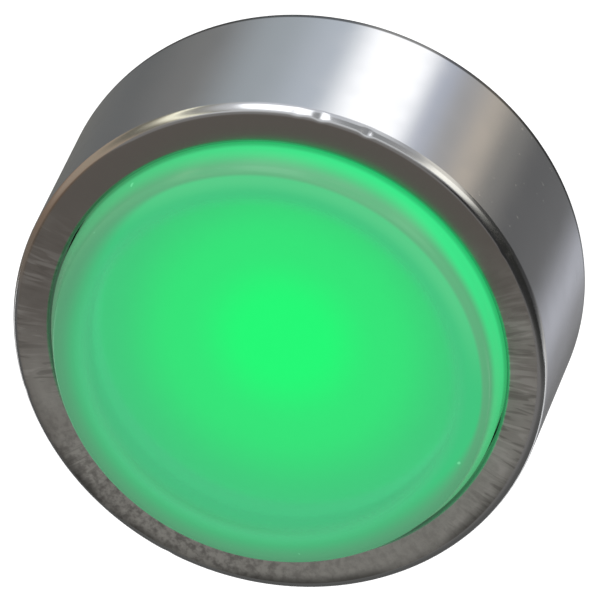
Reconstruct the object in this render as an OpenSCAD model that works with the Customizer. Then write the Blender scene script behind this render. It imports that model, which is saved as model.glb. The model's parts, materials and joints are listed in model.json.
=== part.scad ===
// Illuminated panel pushbutton with a chrome bezel, a lit green lens and one normally open contact.
// Lengths are in millimetres. The button faces -Y, +Z is up and the origin is the middle of the panel seat.

/* [Bezel] */
// Outer diameter of the bezel at the panel
bezel_d = 30; // [29:0.1:34]
// Depth of the bezel from the panel to its front face
bezel_depth = 11.4; // [11:0.1:14]
// How much smaller the bezel's radius is at its front
bezel_draft = 0.25; // [0:0.05:0.4]
// Wall of the bezel at the panel
bezel_wall = 1.5; // [1.4:0.05:2]
// Thickness of the front lip
lip_t = 1.8; // [1.2:0.1:2.2]
// How far the front lip reaches in over the moving flange
lip_overhang = 0.9; // [0.7:0.05:1.2]
// Radius of the front outer edge
front_round = 0.6; // [0.3:0.05:0.8]
// Radius of the rear outer edge
rim_round = 0.3; // [0.1:0.05:0.5]
// Radius of the front opening's edge
opening_round = 0.25; // [0.1:0.05:0.4]

/* [Lens] */
// How far the lens stands in front of the bezel
lens_proud = 1.94; // [1.2:0.02:3]
// Lean of the proud wall from straight
lens_lean = 17; // [0:1:25]
// Radius of the lens's front edge
lens_round = 0.56; // [0.2:0.02:0.9]
// Wall of the lens
lens_wall = 1.2; // [0.9:0.05:1.5]
// Thickness of the diffuser
diffuser_t = 0.8; // [0.5:0.05:1]
// Width of the ledge that the diffuser lies on
diffuser_ledge = 0.8; // [0.5:0.05:1]

/* [Plunger] */
// Travel of the button
travel = 3; // [2:0.1:3.4]
// Thickness of the plunger's flange
flange_t = 1.25; // [0.9:0.05:1.6]
// Wall of the plunger's sleeve
sleeve_wall = 1.4; // [1.2:0.05:1.7]
// Height of the ring that the lens snaps on
spigot_h = 1.85; // [1.4:0.05:2.2]
// Width of the guide key
key_w = 1.5; // [1:0.1:2.5]
// Height of the guide key
key_h = 0.5; // [0.3:0.05:0.6]
// Thickness of the wiper seal
seal_t = 0.8; // [0.5:0.05:1.2]

/* [Barrel] */
// Width of the panel seat, from the bezel's rim to the plain stretch that centres the switch in its hole
seat_w = 3.9; // [3.5:0.1:4.4]
// Length of that plain stretch
pilot_l = 1.2; // [0.8:0.1:1.4]
// How much smaller the thread's radius is than the plain stretch's
thread_step = 0.2; // [0.2:0.05:0.5]
// Length of the barrel behind the panel seat
shank_l = 6.6; // [6.2:0.1:9]
// Wall of the barrel between its thread and its guide bore
barrel_wall = 1.9; // [1.7:0.05:2.2]
// Depth of the keyway
keyway_depth = 0.8; // [0.5:0.05:0.9]
// Width of the keyway
keyway_w = 3; // [2:0.1:4]
// Thickness of the panel gasket
gasket_t = 1; // [0.6:0.1:1.4]

/* [Panel fixing] */
// Thickness of panel that the nut is set for
panel_t = 1.5; // [1:0.1:2]
// Thickness of the lock washer
washer_t = 0.5; // [0.4:0.05:0.8]
// Teeth on the lock washer
washer_teeth = 18; // [10:1:24]
// Thickness of the ring nut
nut_t = 2; // [1.6:0.1:2.4]
// Wall of the ring nut round its thread
nut_wall = 1.55; // [1.2:0.05:2]
// Spanner slots in the ring nut
nut_slots = 6; // [4:1:8]

/* [Contacts] */
// Open gap between the contacts
contact_gap = 1.5; // [1:0.1:1.8]
// Diameter of a contact head
contact_d = 2.2; // [1.6:0.1:2.6]
// Height of a contact head
contact_h = 0.5; // [0.4:0.05:0.7]
// Width of the bridge
bridge_w = 2.6; // [2.2:0.1:3]
// Thickness of the bridge
bridge_t = 0.4; // [0.3:0.05:0.6]
// Thickness of the carrier's cross bar
bar_t = 1; // [0.8:0.05:1.2]
// Width of the carrier's cross bar
bar_w = 3; // [2.4:0.1:3.6]
// Width of a terminal tab
tab_w = 2.8; // [2:0.1:3]
// Thickness of a terminal tab
tab_t = 0.5; // [0.4:0.05:0.6]
// Length of a terminal tab behind the base
tab_l = 6; // [4:0.1:7]

/* [Springs] */
// Wire of the return spring
return_wire = 0.5; // [0.4:0.05:0.7]
// Turns of the return spring
return_turns = 4.5; // [3.5:0.5:5.5]
// Wire of the contact spring
contact_wire = 0.22; // [0.18:0.02:0.3]
// Turns of the contact spring
contact_turns = 4.5; // [3.5:0.5:5.5]
// Length of the contact spring with the button at rest
contact_spring_l = 2.5; // [2.2:0.1:2.8]

/* [Base and light] */
// Thickness of the base
base_t = 1.7; // [1.6:0.05:2]
// Thickness of the circuit board
board_t = 1; // [0.8:0.1:1.6]
// Room between the carrier and the circuit board
board_room = 0.3; // [0.2:0.05:0.6]
// Width of a board post
post_w = 4; // [3:0.1:5]
// Side of the diode's body
led_w = 3.2; // [2.8:0.1:4]
// Radius of the diode's dome at its foot
led_dome_r = 1.3; // [1:0.1:1.4]
// Height of the diode's dome
led_dome_h = 0.4; // [0.2:0.05:0.6]

/* [Clearances] */
// Between pieces that are pressed or snapped together
fit_gap = 0.03; // [0.02:0.01:0.06]
// Between the plunger's sleeve and its guide bore
guide_gap = 0.06; // [0.03:0.01:0.1]
// Between the lens and the bezel's opening
lens_gap = 0.1; // [0.08:0.01:0.3]
// Between the lens and the wiper seal
wiper_gap = 0.05; // [0.03:0.01:0.07]
// Between the nut and the barrel's thread
nut_gap = 0.05; // [0.03:0.01:0.1]
// Between pieces that pass each other freely
free_gap = 0.3; // [0.2:0.05:0.35]

/* [Hidden] */
round_fn = 96;
arc_steps = 8;
overshoot = 1;

// Turned radii, from the bezel inwards
bezel_r = bezel_d / 2;
bezel_front_r = bezel_r - bezel_draft;
cavity_r = bezel_r - bezel_wall;
opening_r = cavity_r - lip_overhang;
lens_r = opening_r - lens_gap;
lens_inner_r = lens_r - lens_wall;
spigot_r = lens_inner_r - fit_gap;
spigot_wall = 1;
spigot_inner_r = spigot_r - spigot_wall;
diffuser_r = spigot_inner_r - fit_gap;
funnel_r = spigot_inner_r - diffuser_ledge;
flange_r = cavity_r - free_gap;
collar_r = cavity_r - fit_gap;

// Turned radii of the barrel and of what runs in it
pilot_r = bezel_r - seat_w;
thread_r = pilot_r - thread_step;
guide_r = thread_r - barrel_wall;
sleeve_r = guide_r - guide_gap;
sleeve_inner_r = sleeve_r - sleeve_wall;
pocket_wall = 0.9;
pocket_inner_r = guide_r + pocket_wall;
pocket_outer_r = collar_r - pocket_wall;
undercut = 0.5;
undercut_w = 0.6;
thread_chamfer = 0.4;
counterbore_step = 0.6;
counterbore_r = guide_r + counterbore_step;
keyway_r = thread_r - keyway_depth;

// Snap bead of the collar and of the spigot: how far it stands out and half its height
collar_bead = 0.3;
collar_bead_half = 0.5;
spigot_bead = 0.2;
spigot_bead_half = 0.35;

// Places along the axis, forwards from the panel seat
lip_rear = bezel_depth - lip_t;
seal_rear = lip_rear - seal_t;
seal_lip_h = 0.3;
seal_lip_back = 0.35;
flange_front = seal_rear - wiper_gap;
flange_rear = flange_front - flange_t;
spigot_front = flange_front + spigot_h;
spigot_bead_z = flange_front + spigot_h / 2;
funnel_l = 0.9;
diffuser_rear = flange_rear + funnel_l;
diffuser_front = diffuser_rear + diffuser_t;
lens_front = bezel_depth + lens_proud;
lens_rear_face = lens_front - lens_wall;
collar_rear = gasket_t;
collar_front = flange_rear - travel - free_gap;
collar_bead_z = (collar_rear + collar_front) / 2;
pocket_floor_t = 0.8;
pocket_floor = collar_rear + pocket_floor_t;

// Places along the axis inside the barrel, forwards from the base
base_floor = base_t - shank_l;
foot_front = base_floor + tab_t;
fixed_contact_front = foot_front + contact_h;
moving_contact_rear = fixed_contact_front + contact_gap;
bridge_rear = moving_contact_rear + contact_h;
bridge_front = bridge_rear + bridge_t;
ledge_t = 0.6;
ledge_rear = bridge_rear - ledge_t;
well_floor = ledge_rear - travel - free_gap;
bar_rear = bridge_front + contact_spring_l;
bar_front = bar_rear + bar_t;
board_rear = bar_front + board_room;
board_front = board_rear + board_t;
sleeve_end = foot_front + travel + free_gap;

// Places across the axis inside the barrel
board_gap = 0.5;
board_r = sleeve_inner_r - board_gap;
contact_inset = 2.5;
contact_x = sleeve_inner_r - contact_inset;
tab_x = contact_x + contact_d / 2 + tab_t;
rivet_r = 0.5;
foot_margin = 0.2;
pin_inset = 1.3;
pin_x = board_r - pin_inset;
pin_w = 1;
pin_proud = 0.4;
pin_shoulder = 0.6;
post_back = 1.1;
stirrup_w = 3;
stirrup_wall = 0.85;
window_gap = 0.15;
window_half = bridge_w / 2 + window_gap;
stirrup_half = window_half + stirrup_wall;
bridge_overlap = 0.3;
bridge_half = contact_x + contact_d / 2 + bridge_overlap;
contact_coil_r = 1.1;
boss_h = (contact_spring_l + contact_gap - travel - free_gap) / 2;
boss_r = contact_coil_r - contact_wire;
return_coil_r = (pocket_inner_r + pocket_outer_r) / 2;

// Tab ends, base ribs and the small parts on the board
tab_chamfer = 0.7;
tab_hole_r = 0.6;
tab_hole_back = 2;
rib_t = 0.8;
rib_h = 2;
led_base_h = 0.5;
resistor_l = 2;
resistor_w = 1.25;
resistor_h = 0.55;
resistor_cap = 0.4;
resistor_cap_t = 0.05;
resistor_inset = 2.84;
resistor_x = board_r - resistor_inset;

// Fixing washer and nut, behind the panel
washer_front = -panel_t;
nut_front = washer_front - washer_t;
nut_rear = nut_front - nut_t;
nut_bore_r = thread_r + nut_gap;
nut_r = nut_bore_r + nut_wall;
washer_r = nut_r;
washer_inner_r = pilot_r + free_gap / 2;
tongue_gap = 0.1;
tooth_depth = 0.7;
tooth_slot_w = 1.4;
nut_chamfer = 0.3;
slot_w = 2.4;
slot_depth = 0.8;

// Coil springs: sides of the wire, steps in a turn, and how loosely the end turns close
wire_sides = 8;
coil_steps = 20;
closed_pitch = 1.1;
coil_seat = 0.02;

// Points of a round stretch about (x, y), from one angle to another
function arc(x, y, r, from, to) =
    [for (i = [0 : arc_steps])
        let (a = from + (to - from) * i / arc_steps)
        [x + r * cos(a), y + r * sin(a)]];

// Points of a snap bead, or of its groove, that stands out from radius r at height z
function bead(r, z, out, half) = [[r, z - half], [r + out, z], [r, z + half]];

// Height of a coil's wire after a number of turns, with one closed turn at each end
function coil_height(turn, turns, rise, wire) =
    let (closed = closed_pitch * wire)
    turn < 1 ? closed * turn :
    turn > turns - 1 ? rise - closed * (turns - turn) :
    closed + (rise - 2 * closed) * (turn - 1) / (turns - 2);

// Turns the modelling axis from +Z to the button's front
module forward() {
    rotate([90, 0, 0])
        children();
}

// Solid of revolution from points given as radius and height
module turned(points) {
    rotate_extrude($fn = round_fn)
        polygon(points);
}

// Upright cylinder between two heights
module round_bar(r, low, high) {
    translate([0, 0, low])
        cylinder(r = r, h = high - low, $fn = round_fn);
}

// Block centred across the axis, between two heights
module block(x_size, y_size, low, high) {
    translate([-x_size / 2, -y_size / 2, low])
        cube([x_size, y_size, high - low]);
}

// Wire wound between two heights
module coil(coil_r, wire, turns, low, high) {
    rings = round(turns * coil_steps);
    rise = high - low - wire - 2 * coil_seat;
    points = [for (i = [0 : rings])
        let (turn = turns * i / rings)
        let (z = low + coil_seat + wire / 2 + coil_height(turn, turns, rise, wire))
        for (j = [0 : wire_sides - 1])
            let (around = 360 * j / wire_sides)
            let (r = coil_r + wire / 2 * cos(around))
            [r * cos(360 * turn), r * sin(360 * turn), z + wire / 2 * sin(around)]];
    sides = [for (i = [0 : rings - 1], j = [0 : wire_sides - 1])
        let (here = i * wire_sides + j)
        let (beside = i * wire_sides + (j + 1) % wire_sides)
        each [[here, beside, beside + wire_sides], [here, beside + wire_sides, here + wire_sides]]];
    first = [for (j = [wire_sides - 1 : -1 : 0]) j];
    last = [for (j = [0 : wire_sides - 1]) rings * wire_sides + j];
    polyhedron(points, concat(sides, [first, last]));
}

module bezel() {
    color("silver")
        forward()
            turned(concat(
                [[cavity_r, 0]],
                arc(bezel_r - rim_round, rim_round, rim_round, -90, 0),
                arc(bezel_front_r - front_round, bezel_depth - front_round, front_round, 0, 90),
                arc(opening_r + opening_round, bezel_depth - opening_round, opening_round, 90, 180),
                [[opening_r, lip_rear], [cavity_r, lip_rear]],
                [for (i = [2 : -1 : 0]) bead(cavity_r, collar_bead_z, collar_bead, collar_bead_half)[i]]));
}

module lens() {
    round_start = lens_front - lens_round * (1 - sin(lens_lean));
    round_r = lens_r - (round_start - bezel_depth) * tan(lens_lean) - lens_round * cos(lens_lean);
    color("limegreen")
        forward()
            turned(concat(
                [[lens_inner_r, flange_front], [lens_r, flange_front], [lens_r, bezel_depth]],
                arc(round_r, lens_front - lens_round, lens_round, lens_lean, 90),
                [[0, lens_front], [0, lens_rear_face]],
                arc(round_r - lens_round, lens_rear_face - lens_round, lens_round, 90, 0),
                [[lens_inner_r, spigot_front]],
                [for (i = [2 : -1 : 0])
                    bead(lens_inner_r, spigot_bead_z, spigot_bead, spigot_bead_half)[i]]));
}

module diffuser() {
    color("white")
        forward()
            round_bar(diffuser_r, diffuser_rear, diffuser_front);
}

module lens_holder() {
    color("whitesmoke")
        forward()
            difference() {
                union() {
                    turned(concat(
                        [[sleeve_inner_r, sleeve_end], [sleeve_r, sleeve_end], [sleeve_r, flange_rear]],
                        [[flange_r, flange_rear], [flange_r, flange_front], [spigot_r, flange_front]],
                        bead(spigot_r, spigot_bead_z, spigot_bead, spigot_bead_half),
                        [[spigot_r, spigot_front], [spigot_inner_r, spigot_front]],
                        [[spigot_inner_r, diffuser_rear], [funnel_r, diffuser_rear]],
                        [[sleeve_inner_r, flange_rear]]));
                    translate([0, -(sleeve_inner_r + sleeve_r + key_h) / 2, 0])
                        block(key_w, sleeve_wall + key_h, sleeve_end, flange_rear);
                }
                block(2 * (sleeve_r + overshoot), bar_w + 2 * fit_gap, sleeve_end - overshoot, bar_front);
                round_bar(sleeve_inner_r, sleeve_end - overshoot, flange_rear);
            }
}

module wiper_seal() {
    seal_r = lens_r + wiper_gap;
    color("dimgray")
        forward()
            turned([
                [seal_r + seal_lip_back, seal_rear],
                [cavity_r - fit_gap, seal_rear],
                [cavity_r - fit_gap, lip_rear],
                [seal_r, lip_rear],
                [seal_r, lip_rear - seal_lip_h]]);
}

module return_spring() {
    color("lightsteelblue")
        forward()
            coil(return_coil_r, return_wire, return_turns, pocket_floor, flange_rear);
}

module barrel() {
    color("darkslategray")
        forward()
            difference() {
                turned(concat(
                    [[counterbore_r, -shank_l], [counterbore_r, base_floor], [guide_r, base_floor]],
                    [[guide_r, collar_front], [pocket_inner_r, collar_front]],
                    [[pocket_inner_r, pocket_floor], [pocket_outer_r, pocket_floor]],
                    [[pocket_outer_r, collar_front], [collar_r, collar_front]],
                    [for (i = [2 : -1 : 0]) bead(collar_r, collar_bead_z, collar_bead, collar_bead_half)[i]],
                    [[collar_r, collar_rear], [thread_r, collar_rear], [thread_r, 0], [pilot_r, 0]],
                    [[pilot_r, -pilot_l], [thread_r - undercut, -pilot_l]],
                    [[thread_r - undercut, -pilot_l - undercut_w], [thread_r, -pilot_l - undercut_w]],
                    [[thread_r, thread_chamfer - shank_l], [thread_r - thread_chamfer, -shank_l]]));
                translate([0, keyway_r + thread_r / 2, 0])
                    block(keyway_w, thread_r, -shank_l - overshoot, 0);
                translate([0, -(guide_r + key_h) / 2, 0])
                    block(key_w + 2 * guide_gap, guide_r + key_h, base_floor, collar_front + overshoot);
            }
}

module panel_gasket() {
    color("black")
        forward()
            difference() {
                round_bar(cavity_r - 2 * fit_gap, 0, gasket_t);
                round_bar(thread_r + 2 * fit_gap, -overshoot, gasket_t + overshoot);
            }
}

module lock_washer() {
    color("gainsboro")
        forward()
            difference() {
                union() {
                    difference() {
                        round_bar(washer_r, nut_front, washer_front);
                        round_bar(washer_inner_r, nut_front - overshoot, washer_front + overshoot);
                    }
                    translate([0, (keyway_r + tongue_gap + washer_inner_r + tooth_depth) / 2, 0])
                        block(keyway_w - 2 * tongue_gap, washer_inner_r + tooth_depth - keyway_r - tongue_gap,
                            nut_front, washer_front);
                }
                for (i = [0 : washer_teeth - 1])
                    rotate([0, 0, 360 * (i + 1 / 2) / washer_teeth])
                        translate([washer_r, 0, 0])
                            block(2 * tooth_depth, tooth_slot_w, nut_front - overshoot, washer_front + overshoot);
            }
}

module ring_nut() {
    color("gainsboro")
        forward()
            difference() {
                turned([
                    [nut_bore_r, nut_rear + nut_chamfer],
                    [nut_bore_r + nut_chamfer, nut_rear],
                    [nut_r - nut_chamfer, nut_rear],
                    [nut_r, nut_rear + nut_chamfer],
                    [nut_r, nut_front],
                    [nut_bore_r + nut_chamfer, nut_front],
                    [nut_bore_r, nut_front - nut_chamfer]]);
                for (i = [0 : nut_slots - 1])
                    rotate([0, 0, 360 * i / nut_slots])
                        translate([nut_r, 0, 0])
                            block(2 * slot_depth, slot_w, nut_rear - overshoot, nut_front + overshoot);
            }
}

module switch_base() {
    base_rear = -shank_l;
    pin_slot_t = tab_t + 2 * fit_gap;
    color("dimgray")
        forward()
            difference() {
                union() {
                    round_bar(counterbore_r - fit_gap, base_rear, base_floor);
                    intersection() {
                        round_bar(board_r, base_floor - overshoot, board_rear);
                        for (side = [-1, 1])
                            translate([0, side * (pin_x - post_back + board_r) / 2, 0])
                                block(post_w, board_r - pin_x + post_back, base_floor - overshoot / 2,
                                    board_rear);
                    }
                    for (turn = [45, 135])
                        rotate([0, 0, turn])
                            block(2 * board_r, rib_t, base_rear - rib_h, base_rear + base_t / 2);
                }
                block(stirrup_w + 2 * free_gap, 2 * (stirrup_half + free_gap), well_floor,
                    base_floor + overshoot);
                for (side = [-1, 1]) {
                    translate([side * tab_x, 0, 0])
                        block(pin_slot_t, tab_w + 2 * fit_gap, base_rear - overshoot, base_floor + overshoot);
                    translate([0, side * pin_x, 0])
                        block(pin_w + 2 * fit_gap, pin_slot_t, base_rear - overshoot, board_rear + overshoot);
                    translate([0, side * pin_x, 0])
                        block(tab_w + 2 * fit_gap, pin_slot_t, base_rear - overshoot,
                            base_floor - pin_shoulder + fit_gap);
                }
            }
}

module led_board() {
    color("darkgreen")
        forward()
            difference() {
                round_bar(board_r, board_rear, board_front);
                for (side = [-1, 1])
                    translate([0, side * pin_x, 0])
                        block(pin_w + 2 * fit_gap, tab_t + 2 * fit_gap, board_rear - overshoot,
                            board_front + overshoot);
            }
}

module led() {
    body_top = board_front + led_base_h;
    sphere_r = (led_dome_r * led_dome_r + led_dome_h * led_dome_h) / (2 * led_dome_h);
    sphere_z = body_top + led_dome_h - sphere_r;
    color("palegreen")
        forward()
            union() {
                block(led_w, led_w, board_front, body_top);
                turned(concat([[0, body_top - led_base_h / 2], [led_dome_r, body_top - led_base_h / 2]],
                    arc(0, sphere_z, sphere_r, acos(led_dome_r / sphere_r), 90)));
            }
}

module led_resistor() {
    color("saddlebrown")
        forward()
            translate([resistor_x, 0, 0]) {
                block(resistor_w, resistor_l, board_front, board_front + resistor_h);
                for (side = [-1, 1])
                    translate([0, side * (resistor_l - resistor_cap) / 2, 0])
                        block(resistor_w + 2 * resistor_cap_t, resistor_cap, board_front,
                            board_front + resistor_h + resistor_cap_t);
            }
}

// Flat tab across the X axis, with a chamfered end and a wire hole
module tab(x, front) {
    tab_rear = -shank_l - tab_l;
    half = tab_w / 2;
    translate([x - tab_t / 2, 0, 0])
        rotate([90, 0, 90])
            linear_extrude(tab_t)
                difference() {
                    polygon([
                        [-half, front],
                        [-half, tab_rear + tab_chamfer],
                        [tab_chamfer - half, tab_rear],
                        [half - tab_chamfer, tab_rear],
                        [half, tab_rear + tab_chamfer],
                        [half, front]]);
                    translate([0, tab_rear + tab_hole_back])
                        circle(r = tab_hole_r, $fn = round_fn);
                }
}

// Tab with a narrow pin that feeds the board
module led_terminal(turn) {
    color("goldenrod")
        forward()
            rotate([0, 0, turn])
                union() {
                    tab(pin_x, base_floor - pin_shoulder);
                    translate([pin_x, 0, 0])
                        block(tab_t, pin_w, base_floor - pin_shoulder - overshoot, board_front + pin_proud);
                }
}

module led_terminal_upper() {
    led_terminal(90);
}

module led_terminal_lower() {
    led_terminal(-90);
}

// Tab with a foot that lies on the base and carries a contact
module contact_terminal(turn) {
    foot_start = contact_x - contact_d / 2 - foot_margin;
    foot_end = tab_x + tab_t / 2;
    color("goldenrod")
        forward()
            rotate([0, 0, turn])
                difference() {
                    union() {
                        tab(tab_x, foot_front);
                        translate([(foot_start + foot_end) / 2, 0, 0])
                            block(foot_end - foot_start, tab_w, base_floor, foot_front);
                    }
                    translate([contact_x, 0, 0])
                        round_bar(rivet_r + fit_gap, base_floor - overshoot, foot_front + overshoot);
                }
}

module contact_terminal_left() {
    contact_terminal(180);
}

module contact_terminal_right() {
    contact_terminal(0);
}

// Contact rivet with its head between two heights and its stem on to a third
module contact(side, head_rear, head_front, stem_end) {
    color("lightgray")
        forward()
            translate([side * contact_x, 0, 0])
                union() {
                    round_bar(contact_d / 2, head_rear, head_front);
                    round_bar(rivet_r, min(head_rear, stem_end), max(head_front, stem_end));
                }
}

module fixed_contact_left() {
    contact(-1, foot_front, fixed_contact_front, base_floor);
}

module fixed_contact_right() {
    contact(1, foot_front, fixed_contact_front, base_floor);
}

module moving_contact_left() {
    contact(-1, moving_contact_rear, bridge_rear, bridge_front);
}

module moving_contact_right() {
    contact(1, moving_contact_rear, bridge_rear, bridge_front);
}

module contact_carrier() {
    color("ivory")
        forward()
            difference() {
                union() {
                    intersection() {
                        block(2 * sleeve_r, bar_w, bar_rear, bar_front);
                        round_bar(sleeve_r, bar_rear, bar_front);
                    }
                    block(stirrup_w, 2 * stirrup_half, ledge_rear, bar_front);
                }
                difference() {
                    block(stirrup_w + overshoot, 2 * window_half, bridge_rear, bar_rear);
                    round_bar(boss_r, bar_rear - boss_h, bar_rear);
                }
            }
}

module contact_bridge() {
    color("peru")
        forward()
            difference() {
                union() {
                    block(2 * bridge_half, bridge_w, bridge_rear, bridge_front);
                    round_bar(boss_r, bridge_rear, bridge_front + boss_h);
                }
                for (side = [-1, 1])
                    translate([side * contact_x, 0, 0])
                        round_bar(rivet_r + fit_gap, bridge_rear - overshoot, bridge_front + overshoot);
            }
}

module contact_spring() {
    color("lightsteelblue")
        forward()
            coil(contact_coil_r, contact_wire, contact_turns, bridge_front, bar_rear);
}

bezel();
lens();
diffuser();
lens_holder();
wiper_seal();
return_spring();
barrel();
panel_gasket();
lock_washer();
ring_nut();
switch_base();
led_board();
led();
led_resistor();
led_terminal_upper();
led_terminal_lower();
contact_terminal_left();
contact_terminal_right();
fixed_contact_left();
fixed_contact_right();
contact_carrier();
contact_bridge();
moving_contact_left();
moving_contact_right();
contact_spring();
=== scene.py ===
"""Illuminated panel pushbutton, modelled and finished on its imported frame.

The button faces -Y, +Z is up and the origin is the middle of the panel seat. Lengths are in metres.
"""
import json
import math

import bpy
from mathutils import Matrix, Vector


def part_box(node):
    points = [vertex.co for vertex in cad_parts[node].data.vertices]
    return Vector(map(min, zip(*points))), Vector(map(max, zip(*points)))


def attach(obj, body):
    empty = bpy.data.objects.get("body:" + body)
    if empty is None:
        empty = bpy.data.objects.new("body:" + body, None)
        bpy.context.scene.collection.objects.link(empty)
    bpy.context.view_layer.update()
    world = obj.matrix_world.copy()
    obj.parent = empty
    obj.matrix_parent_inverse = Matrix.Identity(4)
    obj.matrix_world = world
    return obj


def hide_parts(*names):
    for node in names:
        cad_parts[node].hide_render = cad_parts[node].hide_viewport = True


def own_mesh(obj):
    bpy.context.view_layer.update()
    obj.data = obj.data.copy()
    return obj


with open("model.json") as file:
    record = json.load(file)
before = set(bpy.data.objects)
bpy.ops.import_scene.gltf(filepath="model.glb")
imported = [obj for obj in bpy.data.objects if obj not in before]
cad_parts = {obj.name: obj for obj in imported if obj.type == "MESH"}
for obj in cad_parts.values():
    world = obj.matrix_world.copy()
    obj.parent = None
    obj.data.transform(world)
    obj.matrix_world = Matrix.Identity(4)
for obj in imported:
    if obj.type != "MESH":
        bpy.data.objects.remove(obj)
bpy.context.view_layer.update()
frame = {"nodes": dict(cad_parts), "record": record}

bl_info = {
    "name": "Panel pushbutton",
    "version": (1, 0, 0),
    "blender": (4, 5, 0),
    "location": "View3D > Sidebar > Pushbutton",
    "description": "Models and finishes an illuminated panel pushbutton on its CAD frame",
    "category": "Object",
}

MM = 0.001

# Places that the frame gives: radii across the axis, and depths forwards from the panel seat
BEZEL_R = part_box("bezel")[1].x
BEZEL_DEPTH = -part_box("bezel")[0].y
LENS_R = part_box("lens")[1].x
LENS_FRONT = -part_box("lens")[0].y
LENS_REAR = -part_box("lens")[1].y
SPIGOT_FRONT = -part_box("lens_holder")[0].y
DIFFUSER_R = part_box("diffuser")[1].x
DIFFUSER_FRONT = -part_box("diffuser")[0].y
DIFFUSER_REAR = -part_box("diffuser")[1].y
NUT_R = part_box("ring_nut")[1].x
SHANK_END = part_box("barrel")[1].y
BOARD_FRONT = -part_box("led_board")[0].y

# Parts of a vector that lie across the axis, and the direction towards which painted light makes the lens's
# wall and rim shine most
ACROSS = (1, 0, 1)
UPPER_RIGHT = (0.57, 0, 0.82)

# How finely round shapes are cut, and the distance under which points are one
TURN_STEPS = 400
ARC_STEPS = 8
MERGE = 1e-6

# Degrees: an edge that turns by more is sharp, and faces that differ by less are one flat face
SHARP = 35
FLAT = 0.5


def length(name, description, millimetres):
    """Property for a length, with its default in millimetres."""
    return bpy.props.FloatProperty(
        name=name, description=description, default=millimetres * MM, min=0, unit="LENGTH", precision=5)


def share(name, description, default):
    """Property for a share from 0 to 1."""
    return bpy.props.FloatProperty(
        name=name, description=description, default=default, min=0, max=1, subtype="FACTOR")


def strength(name, description, default):
    """Property for a light's strength."""
    return bpy.props.FloatProperty(name=name, description=description, default=default, min=0)


def angle(name, description, degrees):
    """Property for an angle, with its default in degrees."""
    return bpy.props.FloatProperty(
        name=name, description=description, default=math.radians(degrees), subtype="ANGLE", unit="ROTATION")


def colour(name, description, default):
    """Property for a linear colour."""
    return bpy.props.FloatVectorProperty(
        name=name, description=description, default=default, min=0, size=3, subtype="COLOR")


class BezelSettings(bpy.types.PropertyGroup):
    """Sizes and finish of the bezel."""
    draft: length("Draft", "How much smaller the radius is at the front", 0.25)
    wall: length("Wall", "Wall at the panel", 1.5)
    lip: length("Lip", "Thickness of the front lip", 1.8)
    overhang: length("Overhang", "How far the lip reaches inwards", 0.9)
    front_round: length("Front edge", "Radius of the front outer edge", 0.6)
    rim_round: length("Rear edge", "Radius of the rear outer edge", 0.3)
    opening_round: length("Opening edge", "Radius of the opening's edge", 0.25)
    groove: length("Groove", "Depth of the snap groove", 0.3)
    groove_half: length("Groove half width", "Half the width of the snap groove", 0.5)
    groove_at: length("Groove place", "Distance of the snap groove from the panel", 2.6)
    nick: length("Nick", "Reach of a dent in the front edge", 0.5)
    side_colour: colour("Side", "Chrome plate", (0.56, 0.565, 0.58))
    # The dark colour along the rear edge is painted shade
    rear_edge_shade: colour("Rear edge", "Painted shade along the rear edge", (0.1, 0.1, 0.1))
    side_roughness: share("Side roughness", "Roughness of the side", 0.17)
    face_dark: colour("Face, dark", "Front face where its plate is whole", (0.34, 0.315, 0.295))
    face_pale: colour("Face, pale", "Front face where its plate is worn", (0.73, 0.73, 0.7))
    face_roughness: share("Face roughness", "Roughness of the worn front face", 0.34)


class LensSettings(bpy.types.PropertyGroup):
    """Sizes, colours and glow of the lens and of what lights it."""
    lean: angle("Lean", "Lean of the proud wall", 17)
    edge_round: length("Edge", "Radius of the front edge", 0.56)
    wall: length("Wall", "Wall of the lens", 1.2)
    bead: length("Bead", "Depth of the snap groove", 0.2)
    bead_half: length("Bead half width", "Half the width of the snap groove", 0.35)
    clear_colour: colour("Clear colour", "Tint of the see-through face", (0.06, 0.5, 0.22))
    milky_colour: colour("Milky colour", "Pigment of the milky edge and wall", (0.03, 0.24, 0.1))
    # The rim's pale pigment is a painted highlight
    rim_colour: colour("Rim colour", "Pigment and painted highlight of the rounded rim", (0.09, 0.26, 0.14))
    veil: colour("Veil", "Light of the milky edge of the face", (0.024, 0.37, 0.128))
    # The diode's glow on the rim, with painted light added that is brightest at the upper right
    rim_glow: colour("Rim glow", "Light of the rim at the upper right", (0.05, 0.25, 0.105))
    rim_dim: colour("Rim, dim", "Light of the rim at the lower left", (0.022, 0.145, 0.065))
    # Painted sheen: a reflection of the light overhead, beside the rim
    sheen: colour("Sheen", "Light that the face adds beside the rim's upper right", (0.045, 0.05, 0.04))
    # The diode's glow on the proud wall, with painted light added that is brightest at the upper right
    wall_glow: colour("Wall glow", "Light of the proud wall at the upper right", (0.025, 0.64, 0.19))
    wall_dim: colour("Wall, dim", "Light of the proud wall at the lower left", (0.09, 0.17, 0.11))
    inner_glow: colour("Inner glow", "Light inside the lens at its edge", (0.42, 0.68, 0.54))
    holder_glow: colour("Holder glow", "Light of the holder round the diffuser", (1.0, 1.0, 0.98))
    # Painted shade at the wall's foot
    foot: share("Foot", "Share of the wall's light at the bezel", 0.7)
    roughness: share("Roughness", "Roughness of the lens", 0.22)
    glow_middle: colour("Glow, middle", "Light of the diffuser at its middle", (0.12, 2.05, 0.85))
    glow_half: colour("Glow, half way", "Light of the diffuser half way out", (0.46, 1.67, 0.89))
    glow_edge: colour("Glow, edge", "Light of the diffuser at its edge", (0.8, 1.17, 0.93))


class BodySettings(bpy.types.PropertyGroup):
    """Sizes of the parts behind the panel."""
    pitch: length("Pitch", "Pitch of the barrel's thread", 1.0)
    thread_depth: length("Thread depth", "Depth of the barrel's thread", 0.55)
    thread_start: length("Thread start", "Distance of the thread from the panel seat", 1.5)
    edge: length("Edge", "Broken edge of a moulded piece", 0.12)
    sheet_edge: length("Sheet edge", "Broken edge of a small or sheet metal piece", 0.06)


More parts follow.
